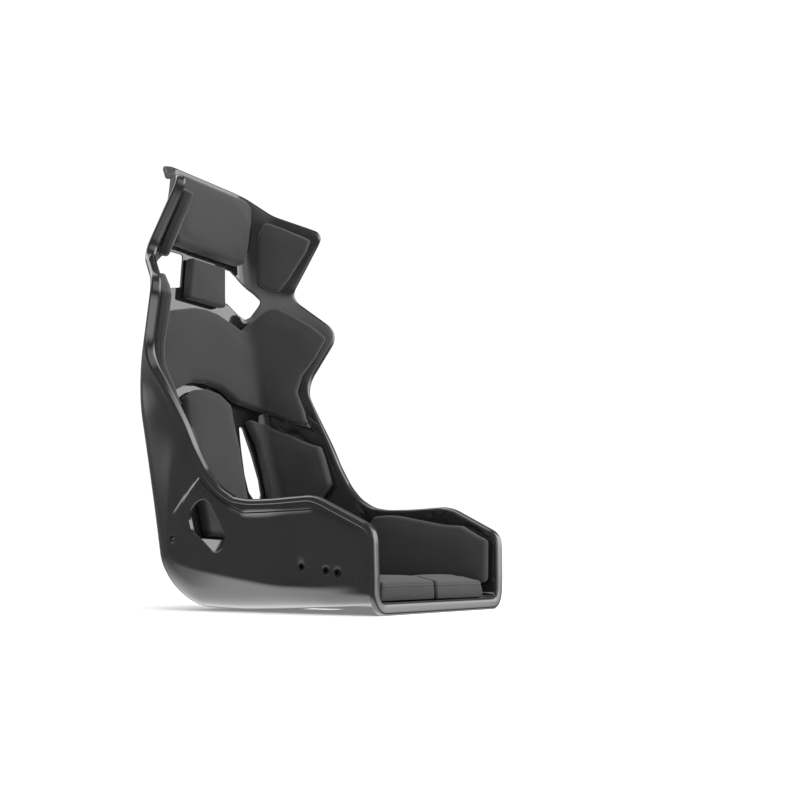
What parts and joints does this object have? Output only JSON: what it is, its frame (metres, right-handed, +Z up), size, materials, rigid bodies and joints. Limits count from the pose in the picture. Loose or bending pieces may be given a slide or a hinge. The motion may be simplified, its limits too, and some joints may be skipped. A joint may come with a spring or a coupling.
{
  "type": "racing seat",
  "caption": "Fixed-back bucket racing seat: gloss shell with head and shoulder wings, harness and lap-belt openings, fabric pads and side-mount inserts.",
  "frame": {"origin": "centre of the bounding box's base, on the floor under the seat", "axes": "+X to the sitter's left, across the mirror plane; the seat faces -Y; +Z up"},
  "size_m": [0.5638, 0.5762, 0.8797],
  "materials": {
    "gloss_black": "gloss black gel coat over glass-fibre laminate",
    "pad_fabric": "matte charcoal knitted fabric",
    "foam": "open-cell polyurethane foam",
    "hook_tape": "black hook-and-loop tape",
    "mount_steel": "black oxide steel"
  },
  "bodies": {
    "root": {"shell_pan": "gloss_black", "shell_back_lower": "gloss_black", "shell_back_upper": "gloss_black", "shell_head": "gloss_black", "shell_side_left": "gloss_black", "shell_side_right": "gloss_black", "shell_shoulder_left": "gloss_black", "shell_shoulder_right": "gloss_black", "shell_head_wing_left": "gloss_black", "shell_head_wing_right": "gloss_black", "head_pad_cover": "pad_fabric", "head_pad_foam": "foam", "head_pad_tape": "hook_tape", "neck_pad_cover": "pad_fabric", "neck_pad_foam": "foam", "neck_pad_tape": "hook_tape", "upper_back_pad_cover": "pad_fabric", "upper_back_pad_foam": "foam", "upper_back_pad_tape": "hook_tape", "lumbar_pad_cover": "pad_fabric", "lumbar_pad_foam": "foam", "lumbar_pad_tape": "hook_tape", "head_side_pad_cover_left": "pad_fabric", "head_side_pad_cover_right": "pad_fabric", "head_side_pad_foam_left": "foam", "head_side_pad_foam_right": "foam", "head_side_pad_tape_left": "hook_tape", "head_side_pad_tape_right": "hook_tape", "lumbar_side_pad_cover_left": "pad_fabric", "lumbar_side_pad_cover_right": "pad_fabric", "lumbar_side_pad_foam_left": "foam", "lumbar_side_pad_foam_right": "foam", "lumbar_side_pad_tape_left": "hook_tape", "lumbar_side_pad_tape_right": "hook_tape", "thigh_pad_cover_left": "pad_fabric", "thigh_pad_cover_right": "pad_fabric", "thigh_pad_foam_left": "foam", "thigh_pad_foam_right": "foam", "thigh_pad_tape_left": "hook_tape", "thigh_pad_tape_right": "hook_tape", "seat_pad_cover_left": "pad_fabric", "seat_pad_cover_right": "pad_fabric", "seat_pad_foam_left": "foam", "seat_pad_foam_right": "foam", "seat_pad_tape_left": "hook_tape", "seat_pad_tape_right": "hook_tape", "mount_rear_left": "mount_steel", "mount_rear_right": "mount_steel", "mount_front_a_left": "mount_steel", "mount_front_a_right": "mount_steel", "mount_front_b_left": "mount_steel", "mount_front_b_right": "mount_steel", "mount_front_c_left": "mount_steel", "mount_front_c_right": "mount_steel"}
  },
  "joints": []
}
